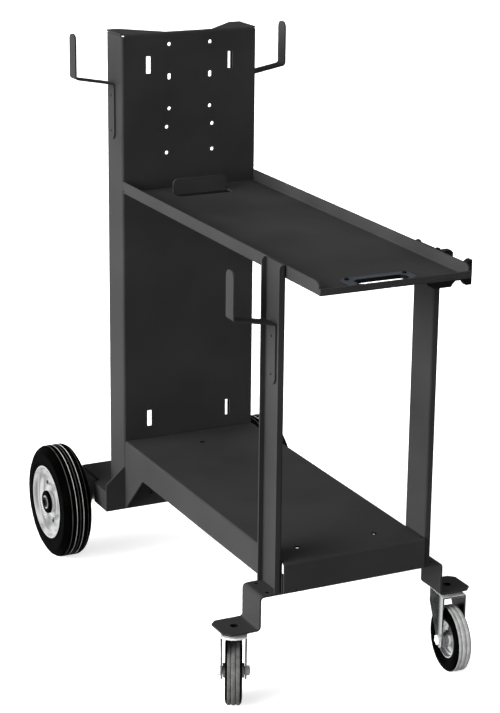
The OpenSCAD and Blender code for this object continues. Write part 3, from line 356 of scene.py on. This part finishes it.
def grain_pattern():
    group, given, result = pattern_group("grain_pattern", [
        ("Vector", "NodeSocketVector", None), ("Grain Scale", "NodeSocketFloat", 900.0),
        ("Patch Scale", "NodeSocketFloat", 9.0)], ["Grain", "Tone", "Patch"])
    fine = wire(group, "ShaderNodeTexNoise", Vector=given.outputs["Vector"], Scale=given.outputs["Grain Scale"],
                Detail=3.0, Roughness=0.6)
    cells = wire(group, "ShaderNodeTexVoronoi", {"feature": "SMOOTH_F1"}, Vector=given.outputs["Vector"],
                 Scale=given.outputs["Grain Scale"])
    both = wire(group, "ShaderNodeMath", {"operation": "MULTIPLY_ADD"}, _0=cells.outputs["Distance"], _1=0.5,
                _2=fine.outputs["Fac"])
    patch = wire(group, "ShaderNodeTexNoise", Vector=given.outputs["Vector"], Scale=given.outputs["Patch Scale"],
                 Detail=4.0, Roughness=0.5)
    tone = wire(group, "ShaderNodeMath", {"operation": "MULTIPLY_ADD"}, _0=fine.outputs["Fac"], _1=0.55,
                _2=patch.outputs["Fac"])
    group.links.new(both.outputs[0], result.inputs["Grain"])
    group.links.new(tone.outputs[0], result.inputs["Tone"])
    group.links.new(patch.outputs["Fac"], result.inputs["Patch"])
    return group

def ring_pattern():
    group, given, result = pattern_group("ring_pattern", [
        ("Vector", "NodeSocketVector", None), ("Ring Scale", "NodeSocketFloat", 400.0)], ["Rings", "Sweep"])
    parts = wire(group, "ShaderNodeSeparateXYZ", Vector=given.outputs["Vector"])
    flat = wire(group, "ShaderNodeCombineXYZ", Y=parts.outputs["Y"], Z=parts.outputs["Z"])
    radius = wire(group, "ShaderNodeVectorMath", {"operation": "LENGTH"}, _0=flat.outputs[0])
    reach = wire(group, "ShaderNodeMath", {"operation": "ADD"}, _0=radius.outputs["Value"], _1=parts.outputs["X"])
    line = wire(group, "ShaderNodeMath", {"operation": "MULTIPLY"}, _0=reach.outputs[0],
                _1=given.outputs["Ring Scale"])
    rings = wire(group, "ShaderNodeTexNoise", {"noise_dimensions": "1D"}, W=line.outputs[0], Scale=1.0, Detail=3.0)
    sweep = wire(group, "ShaderNodeTexNoise", Vector=given.outputs["Vector"], Scale=22.0, Detail=2.0)
    group.links.new(rings.outputs["Fac"], result.inputs["Rings"])
    group.links.new(sweep.outputs["Fac"], result.inputs["Sweep"])
    return group

grain_group, ring_group = grain_pattern(), ring_pattern()
print("groups", grain_group.name, ring_group.name)

# %% [markdown]
# ## Finishes
# Each finish keeps its own Principled shader with plain values, and the patterns only vary colour,
# roughness and bump. The powder coat has a fine texture of about a millimetre, zinc is cloudy and bright,
# rubber is dull and dark, and moulded plastic has a slight leather grain.

# %% Build the finishes
def new_finish(name, place=(0, 0, 0), turn=0.0):
    finish = bpy.data.materials.new(name)
    finish.use_nodes = True
    tree = finish.node_tree
    where = wire(tree, "ShaderNodeTexCoord")
    centred = wire(tree, "ShaderNodeMapping", {"vector_type": "TEXTURE"}, Vector=where.outputs["Object"],
                   Location=tuple(place), Rotation=(0, 0, turn))
    return finish, tree, tree.nodes["Principled BSDF"], centred.outputs[0]

def between(tree, value, low, high, dark, light):
    """Turns a pattern's value into a range of another value."""
    return wire(tree, "ShaderNodeMapRange", Value=value, _1=low, _2=high, _3=dark, _4=light).outputs[0]

def two_tones(tree, value, dark, light):
    mix = wire(tree, "ShaderNodeMix", {"data_type": "RGBA"})
    tree.links.new(value, mix.inputs["Factor"])
    mix.inputs[6].default_value = (*dark, 1)
    mix.inputs[7].default_value = (*light, 1)
    return mix.outputs[2]

def grained(name, dark, light, rough, grain, patch, height, metallic=0.0, shine=0.5, place=(0, 0, 0), turn=0.0,
            bow=0.0):
    """A finish with a fine grain and slow changes of tone. A bow makes a flat leg look slightly crowned."""
    finish, tree, shader, where = new_finish(name, place, turn)
    pattern = wire(tree, "ShaderNodeGroup", {"node_tree": grain_group}, Vector=where, Grain_Scale=grain,
                   Patch_Scale=patch)
    tone = between(tree, pattern.outputs["Tone"], 0.5, 1.05, 0.0, 1.0)
    tree.links.new(two_tones(tree, tone, dark, light), shader.inputs["Base Color"])
    tree.links.new(between(tree, pattern.outputs["Patch"], 0.3, 0.7, *rough), shader.inputs["Roughness"])
    bump = wire(tree, "ShaderNodeBump", Strength=0.6, Distance=height * MM, Height=pattern.outputs["Grain"])
    if bow:
        parts = wire(tree, "ShaderNodeSeparateXYZ", Vector=where)
        crown = wire(tree, "ShaderNodeMath", {"operation": "MULTIPLY"}, _0=parts.outputs["Y"], _1=parts.outputs["Y"])
        bump = wire(tree, "ShaderNodeBump", {"invert": True}, Strength=1.0, Distance=bow, Height=crown.outputs[0],
                    Normal=bump.outputs[0])
    tree.links.new(bump.outputs[0], shader.inputs["Normal"])
    shader.inputs["Metallic"].default_value = metallic
    shader.inputs["Specular IOR Level"].default_value = shine
    return finish

def ringed(name, dark, light, rough, rings, height, metallic=1.0, place=(0, 0, 0), turn=0.0, shine=0.5):
    """A finish with fine rings round an axle that lies along the turned X."""
    finish, tree, shader, where = new_finish(name, place, turn)
    pattern = wire(tree, "ShaderNodeGroup", {"node_tree": ring_group}, Vector=where, Ring_Scale=rings)
    tone = between(tree, pattern.outputs["Sweep"], 0.35, 0.65, 0.0, 1.0)
    tree.links.new(two_tones(tree, tone, dark, light), shader.inputs["Base Color"])
    tree.links.new(between(tree, pattern.outputs["Rings"], 0.3, 0.7, *rough), shader.inputs["Roughness"])
    bump = wire(tree, "ShaderNodeBump", Strength=0.5, Distance=height * MM, Height=pattern.outputs["Rings"])
    tree.links.new(bump.outputs[0], shader.inputs["Normal"])
    shader.inputs["Metallic"].default_value = metallic
    shader.inputs["Specular IOR Level"].default_value = shine
    return finish

powder = grained("powder_coat", dark=(0.0177, 0.0177, 0.0181), light=(0.0274, 0.0274, 0.0279), rough=(0.5, 0.6),
                 grain=1100, patch=7, height=0.15, shine=0.1)
zinc = grained("zinc_plate", dark=(0.5, 0.505, 0.515), light=(0.68, 0.685, 0.695), rough=(0.14, 0.22),
               grain=420, patch=60, height=0.004, metallic=1.0)
# A lighter, less metallic zinc: the own finish of the casters' bolts and nuts, and a painted highlight on the forks'
# crowns.
light_zinc_and_highlight = grained("light_zinc_and_painted_highlight", dark=(0.7, 0.7, 0.705), light=(0.82, 0.82, 0.825), rough=(0.3, 0.4),
                      grain=420, patch=60, height=0.01, metallic=0.3)
# A near-black zinc that is painted shade on the forks' inner faces and round the rivet heads.
painted_shade_zinc = grained("painted_shade_zinc", dark=(0.008, 0.008, 0.0082), light=(0.02, 0.02, 0.0205), rough=(0.3, 0.4),
                      grain=420, patch=60, height=0.01, metallic=1.0)
steel = grained("bright_steel", dark=(0.6, 0.6, 0.61), light=(0.74, 0.74, 0.75), rough=(0.14, 0.22),
                grain=700, patch=40, height=0.003, metallic=1.0)
# A near-black finish: the real black oxide of screws, washers and kingpins, and painted shade in the beam's and
# tray's holes and at the axle's ends.
black_oxide_and_painted_shade = grained("black_oxide_and_painted_shade", dark=(0.002, 0.002, 0.0025), light=(0.004, 0.004, 0.0045), rough=(0.4, 0.6),
                      grain=600, patch=80, height=0.03, shine=0.15)
moulded = grained("black_plastic", dark=(0.001, 0.001, 0.001), light=(0.002, 0.002, 0.0021), rough=(0.35, 0.48),
                  grain=1400, patch=30, height=0.05, shine=0.25)
grip_shell = grained("grip_plastic", dark=(0.0225, 0.0285, 0.035), light=(0.0315, 0.0385, 0.0465),
                     rough=(0.4, 0.52), grain=1300, patch=25, height=0.05, shine=0.25)
chalk = grained("tread_dust", dark=(0.4, 0.4, 0.396), light=(0.56, 0.56, 0.553), rough=(0.8, 0.9),
                grain=900, patch=60, height=0.05, shine=0.1)
faint_chalk = grained("faint_dust", dark=(0.014, 0.014, 0.0138), light=(0.06, 0.06, 0.059), rough=(0.8, 0.9),
                      grain=900, patch=60, height=0.05, shine=0.1)
tyre = ringed("black_tyre", dark=(0.0003, 0.0003, 0.0003), light=(0.0007, 0.0007, 0.0007), rough=(0.24, 0.34),
              rings=900, height=0.03, metallic=0.0, place=axle, shine=0.002)
rim = ringed("rim_steel", dark=(0.76, 0.76, 0.765), light=(0.84, 0.84, 0.845), rough=(0.26, 0.31),
             rings=1200, height=0.0004, metallic=0.95, place=axle)

# %% [markdown]
# ## The casters' own finishes
# The two casters turn to different sides, and the right caster's tread is painted much lighter than the left one's
# as painted light. So each caster has finishes of its own, whose patterns lie along its axle.

# %% Build the casters' finishes
fork_zinc, tread, caster_tyre, caster_rim = {}, {}, {}, {}
# Each tread is lighter than its side walls, partly as grey rubber and partly as a painted sheen, and the right tread
# is painted much lighter than the left one as painted light.
for side, painted_light_tread_low, painted_light_tread_high in (("left", (0.045, 0.045, 0.045), (0.115, 0.115, 0.113)),
                           ("right", (0.22, 0.22, 0.22), (0.38, 0.38, 0.375))):
    along_axle = {"place": caster[side], "turn": swivel[side]}
    leg = {"place": caster[side] - Vector((0, 8 * MM, 0)), "turn": swivel[side]}
    fork_zinc[side] = grained(side + "_fork_zinc", dark=(0.5, 0.505, 0.515), light=(0.66, 0.665, 0.675),
                              rough=(0.12, 0.2), grain=420, patch=60, height=0.004, metallic=1.0, bow=7, **leg)
    tread[side] = grained(side + "_tread", dark=painted_light_tread_low, light=painted_light_tread_high, rough=(0.6, 0.75), grain=800, patch=90,
                          height=0.08, shine=0.1)
    caster_tyre[side] = ringed(side + "_caster_rubber", dark=(0.0003, 0.0003, 0.0003),
                               light=(0.0007, 0.0007, 0.0007), rough=(0.3, 0.42), rings=1500, height=0.03,
                               metallic=0.0, shine=0.004, **along_axle)
    caster_rim[side] = ringed(side + "_caster_steel", dark=(0.5, 0.505, 0.515), light=(0.66, 0.665, 0.67),
                              rough=(0.14, 0.24), rings=1500, height=0.004, metallic=0.93, **along_axle)
print("finishes", len(bpy.data.materials))

# %% [markdown]
# ## Folded sheet
# The exact sheets have edges of no width at all, which no press or paint leaves. Each sheet is copied, its
# loose triangles are merged, flat areas are cleaned of their extra edges, and every sharp edge gets a small
# bevel. Under paint a cut edge is about half a millimetre round.

# %% Soften the sheets
def softened(node, material, width, segments=2):
    """Copies a node's exact mesh, cleans it, rounds its sharp edges and puts it in the node's place."""
    piece = bpy.data.objects.new(node + "_shell", frame["nodes"][node].data.copy())
    piece.data.materials.clear()
    bpy.context.scene.collection.objects.link(piece)
    work_on(piece)
    bpy.ops.mesh.select_all(action="SELECT")
    bpy.ops.mesh.remove_doubles(threshold=0.002 * MM)
    bpy.ops.mesh.dissolve_limited(angle_limit=math.radians(0.5))
    bpy.ops.object.mode_set(mode="OBJECT")
    soften(piece, width, segments)
    return hand_over(piece, material, node)

sheets = ("back_panel", "shelf", "bottom_tray", "left_post", "right_post", "front_beam", "rear_base",
          "base_front_plate", "gussets", "axle_brackets")
shells = {sheet: softened(sheet, powder, 0.45) for sheet in sheets}

def hole_spots(name):
    """The middle and radius of each hole of one of the record's mounts."""
    mount = next(m for m in frame["record"]["mounts"] if m["name"] == name)
    at, dims = mount["pos_m"], mount["dims"]
    half_x, half_y = dims.get("spacing_x_mm", 0) / 2 * MM, dims.get("spacing_y_mm", 0) / 2 * MM
    radius = dims.get("hole_r_mm", dims.get("r_mm")) * MM
    return [(at[0] + i * half_x, at[1] + j * half_y, radius) for i in (-1, 1) for j in (-1, 1)]

CASTER_HOLE_R, SLACK = 6.5 * MM, 0.5 * MM
holes = [(*middle(side + "_caster_kingpin").xy, CASTER_HOLE_R) for side in caster]
for mount in ("beam_ledge_holes", "tray_front_holes", "tray_rear_hole"):
    holes += hole_spots(mount)

def painted_shade_in_hole(at, normal):
    """The walls of the holes of the beam and the tray, which are painted near black as painted shade."""
    return abs(normal.z) < 0.9 and any(math.hypot(at.x - x, at.y - y) < r + SLACK for x, y, r in holes)

# The hole walls get the near-black finish as painted shade.
for sheet in ("front_beam", "bottom_tray"):
    repaint(shells[sheet], black_oxide_and_painted_shade, painted_shade_in_hole)

# %% Close the shelf's front corners
def corner_weld(side, sign):
    """The shelf's front and side lips are welded together at the corner and ground flat."""
    low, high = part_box("shelf")
    lift, height = 1.2, 10.7
    corner = Vector((sign * high[0], low[1], low[2] + lift * MM))
    outline = [(0.1, 0.1, 1.4), (6.3, 0.1), (6.3, 2.9), (3.1, 4.7), (0.1, 4.7)]
    piece = cut_out(side + "_corner_weld", outline, corner, (-sign, 0, 0), (0, 1, 0), (0, 0, height))
    return hand_over(soften(piece, 0.4), powder, body="cart", slot=slot_of_node["shelf"])

corner_weld("left", -1)
corner_weld("right", 1)

for hook in ("left_panel_hook", "right_panel_hook", "post_hook"):
    softened(hook, powder, 0.6)

# %% [markdown]
# ## Rear wheels
# A solid rubber tyre sits on two pressed rim halves that are riveted together. The tyre is spun from its
# section: a flat side wall with a moulded ring, round shoulders, and a tread whose grooves and edges
# gather light dust. The rim is spun from the pressed sheet's section, with its bends eased.

# %% Tyre
def wheel_tyre():
    side = [(68.5, 24.5), (68.5, 25.8), (70.3, 28, 1.5), (73.5, 28, 0.6), (74.3, 27.1, 0.5), (77.2, 27.1, 0.5),
            (78, 28, 0.6), (92, 28, 4), (95.4, 26.8, 0.8), (96.6, 25.6, 0.8), (103.8, 21.8, 5), (107, 15.8, 3)]
    groove = [(107, 7.2, 0.2), (106.2, 6.95, 0.15), (106.2, 6.05, 0.15), (107, 5.8, 0.2)]
    half = side + groove
    outline = [(64, 5), *half, (107, 0.9, 0.2), (106.4, 0.5), (106.4, -0.5), (107, -0.9, 0.2),
               *[(r, -x, *b) for r, x, *b in reversed(half)], (64, -5)]
    piece = turned("left_tyre", outline, Vector((-wheel_x, axle.y, axle.z)), (-1, 0, 0), 128)
    piece.data.materials.append(tyre)
    def from_axle(at):
        """Radius and distance from the wheel's middle plane, in millimetres."""
        return math.hypot(at.y - axle.y, at.z - axle.z) / MM, abs(at.x + wheel_x) / MM
    def in_groove(at, normal):
        radius, off = from_axle(at)
        return 106 < radius < 106.85 and abs(off - 6.5) < 0.8
    def on_edge(at, normal):
        radius, off = from_axle(at)
        return radius > 106.1 and (off < 0.8 or 15.1 < off < 16.4)
    repaint(piece, chalk, in_groove)
    repaint(piece, faint_chalk, on_edge)
    return piece

def carried_across(piece, name, old, new):
    """A copy with its own mesh, turned half round the upright line through the axle."""
    twin = piece.copy()
    twin.data = piece.data.copy()
    twin.name = twin.data.name = name
    bpy.context.scene.collection.objects.link(twin)
    twin.data.transform(Matrix.Translation(new) @ Matrix.Rotation(math.pi, 4, "Z") @ Matrix.Translation(-old))
    return twin

left_hub, right_hub = Vector((-wheel_x, axle.y, axle.z)), Vector((wheel_x, axle.y, axle.z))
left_tyre = wheel_tyre()
right_tyre = carried_across(left_tyre, "right_tyre", left_hub, right_hub)
hand_over(left_tyre, tyre, "left_wheel_tyre", angle=40)
hand_over(right_tyre, tyre, "right_wheel_tyre", angle=40)

# %% Rim halves
DISC_AT, RIVET_CIRCLE, RIVET_TURNS = 12, 43, (-82, 38, 158)

def rim_outline():
    """From the seat of the tyre over the lip, down the stepped bowl to the disc, and up the boss to the hub."""
    return [(64, 0.02), (64, 5, 2), (68.5, 24.2, 2), (68.5, 25.6, 0.8), (70.1, 26.6, 0.8), (69.7, 28, 0.7),
            (66.9, 28, 1.2), (65.3, 24.8, 1), (63.4, 20.6, 1.2), (61.4, 19.4, 0.8), (58.4, 18.2, 3), (53.5, 13, 4),
            (50, DISC_AT, 3), (37, DISC_AT, 3), (33.6, 14.2, 1.5), (31.2, 19, 3), (26, 20.6, 3), (21.8, 21.2, 1),
            (21.2, 24, 0.4), (17, 24, 0.4), (17, 9, 3), (30.5, 0.02, 2)]

hubs = (("left", left_hub, -1), ("right", right_hub, 1))
for side, hub, out in hubs:
    for half, facing, node in (("_rim_face", out, "_rim_outer"), ("_rim_back", -out, "_rim_inner")):
        piece = turned(side + half, rim_outline(), hub, (facing, 0, 0), 128)
        hand_over(piece, rim, side + node, angle=50)

# %% Rivets
def joined(pieces, name):
    clear_selection()
    for piece in pieces:
        piece.select_set(True)
    bpy.context.view_layer.objects.active = pieces[0]
    bpy.ops.object.join()
    pieces[0].name = name
    return pieces[0]

def rivet_heads(side, hub):
    """Three hollow rivets, with a head on both faces of the wheel."""
    outline = [(1.3, -0.4), (4.1, -0.4), (3.9, 1.1, 0.5), (2.3, 1.6, 0.5), (1.3, 1.1, 0.2)]
    heads = []
    for out in (-1, 1):
        for turn in RIVET_TURNS:
            spot = Vector((out * DISC_AT, RIVET_CIRCLE * math.cos(math.radians(turn)),
                           RIVET_CIRCLE * math.sin(math.radians(turn)))) * MM
            heads.append(turned(side + "_rivet", outline, hub + spot, (out, 0, 0), 24))
    return joined(heads, side + "_rivets")

for side, hub, out in hubs:
    heads = rivet_heads(side, hub)
    heads.data.materials.append(zinc)
    # The sides of the rivet heads get the near-black zinc as painted shade, a dark outline round each head.
    repaint(heads, painted_shade_zinc, lambda at, normal: abs(normal.x) < 0.8)
    hand_over(heads, zinc, side + "_rim_rivets")

# %% Caps and axle
def hub_cap(side, hub, out):
    outline = [(10.05, 24.5), (21.8, 24.5), (21.8, 27, 0.6), (20.4, 29, 1.4), (13.4, 29.3, 0.6), (12.9, 28.2),
               (10.05, 28.2)]
    return turned(side + "_hub_cap", outline, hub, (out, 0, 0), 72)

def hub_ring(side, hub, out):
    outline = [(10.05, 28.3), (12.8, 28.3), (12.8, 29.5, 0.4), (10.9, 29.5, 0.4), (10.05, 28.9)]
    return turned(side + "_hub_ring", outline, hub, (out, 0, 0), 72)

hand_over(joined([hub_cap(*hub) for hub in hubs], "hub_caps"), tyre, "axle_collars")
hand_over(joined([hub_ring(*hub) for hub in hubs], "hub_rings"), steel, body="cart", slot=slot_of_node["rear_axle"])

def axle_end(at, normal):
    """The ends of the axle and all that is thinner than it, which lie inside the caps and are painted near black as
    painted shade.
    """
    return abs(at.x) > wheel_x + 26 * MM or math.hypot(at.y - axle.y, at.z - axle.z) < 7.6 * MM

# The axle's ends and bore get the near-black finish as painted shade.
repaint(softened("rear_axle", steel, 0.5), black_oxide_and_painted_shade, axle_end)
softened("axle_spacers", steel, 0.4)

# %% [markdown]
# ## Casters
# Each caster is a pressed zinc fork under a ball race, with a narrow rubber wheel that has three ribs on
# its tread. The tread is lighter than the side walls, partly as grey rubber and partly as a painted sheen, so it has
# a finish of its own.

# %% Caster wheels
def caster_wheel(side):
    along = Vector((math.cos(swivel[side]), math.sin(swivel[side]), 0))
    rubber = [(33, 10), (34.5, 11.2, 0.8), (36, 11.4, 0.6), (44.5, 14.4, 4), (52.5, 13.2, 3), (56.2, 10.2, 1.2),
              (56.5, 8, 2), (56.2, 5.2, 0.8), (55, 4.4, 0.4), (55, 3.8, 0.4), (56.2, 3, 0.8), (56.5, 0.5)]
    outline = rubber + [(r, -x, *b) for r, x, *b in reversed(rubber)]
    tyre_piece = turned(side + "_caster_ring", outline, caster[side], along, 96)
    tyre_piece.data.materials.append(caster_tyre[side])
    # The tread faces get the lighter tread finish, partly grey rubber and partly a painted sheen.
    def on_tread(at, normal):
        off = (at - caster[side]).dot(along)
        return (at - caster[side] - along * off).length > 54.5 * MM and abs(off) < 10.3 * MM
    repaint(tyre_piece, tread[side], on_tread)
    hand_over(tyre_piece, caster_tyre[side], side + "_caster_tyre", angle=40)
    sheet = [(33, 9.8), (31, 10, 0.6), (30.2, 9.2, 0.5), (29.4, 4.6, 2), (25, 3.6, 2), (14.5, 6.4, 2), (12, 9, 1.5),
             (12, 17.9, 0.5), (7.05, 18)]
    outline = sheet + [(r, -x, *b) for r, x, *b in reversed(sheet)]
    hand_over(turned(side + "_caster_disc", outline, caster[side], along, 96), caster_rim[side],
              side + "_caster_rim", angle=50)

for side in caster:
    caster_wheel(side)

# %% Forks, races and bolts
for side in caster:
    fork = softened(side + "_caster_fork", fork_zinc[side], 0.6, 3)
    across = Vector((math.cos(swivel[side]), math.sin(swivel[side]), 0))
    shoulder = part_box(side + "_caster_fork")[1][2] - 6 * MM
    # Faces below the shoulder that turn in towards the wheel get the near-black zinc as painted shade.
    def inside(at, normal):
        off = (at - caster[side]).dot(across)
        return at.z < shoulder and normal.dot(across) * off < -0.5 * abs(off)
    repaint(fork, painted_shade_zinc, inside)
    # The crown above the shoulder gets the lighter zinc as a painted highlight.
    repaint(fork, light_zinc_and_highlight, lambda at, normal: at.z > shoulder)
    for part, material, width in (("race", zinc, 0.5), ("kingpin", black_oxide_and_painted_shade, 0.4), ("bolt", light_zinc_and_highlight, 0.7),
                                  ("nut", light_zinc_and_highlight, 0.7)):
        softened(side + "_caster_" + part, material, width)

# %% [markdown]
# ## Grip, torch holder and screws
# The grip is a moulded frame that lies on the shelf and lines the finger hole, and the torch holder is a
# moulded block at the right post. Plastic edges are rounder than steel ones, so they get a wider bevel.

# %% Plastic pieces
def grip_frame():
    """The frame with its sleeve cut short, so that light shows through under its edge."""
    cut, rim_of_sleeve = 4.8 * MM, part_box("handle_grip")[0][2] + 1.5 * MM
    opening, centre = (46.6 * MM, 14 * MM), middle("handle_grip")
    piece = softened("handle_grip", grip_shell, 0.9, 3)
    work_on(piece)
    bpy.ops.mesh.select_mode(type="FACE")
    choose(piece, lambda at, normal: at.z < rim_of_sleeve)
    bpy.ops.transform.translate(value=(0, 0, cut))
    bpy.ops.object.mode_set(mode="OBJECT")
    # The walls of the finger hole get the black plastic as painted shade.
    def painted_shade_lining(at, normal):
        within = abs(at.x - centre.x) < opening[0] and abs(at.y - centre.y) < opening[1]
        return within and abs(normal.z) < 0.6
    repaint(piece, moulded, painted_shade_lining)
    return piece

grip_frame()
softened("torch_holder", moulded, 0.9, 3)
for node, material in (("handle_screws", black_oxide_and_painted_shade), ("hook_screws", black_oxide_and_painted_shade),
                       ("torch_holder_screws", zinc), ("hook_washers", black_oxide_and_painted_shade)):
    softened(node, material, 0.25)

# %% [markdown]
# ## Nodes that keep their exact shape
# The balls, bushes and bearings are simple and mostly hidden, so they stay as they are and only get a
# finish.

# %% Finish the rest
for name, node in frame["nodes"].items():
    if node.hide_render:
        continue
    plain = {"black_plastic": moulded, "bright_steel": steel}.get(slot_of_node[name], zinc)
    for place in node.material_slots:
        place.material = plain
    print("kept", name, plain.name)
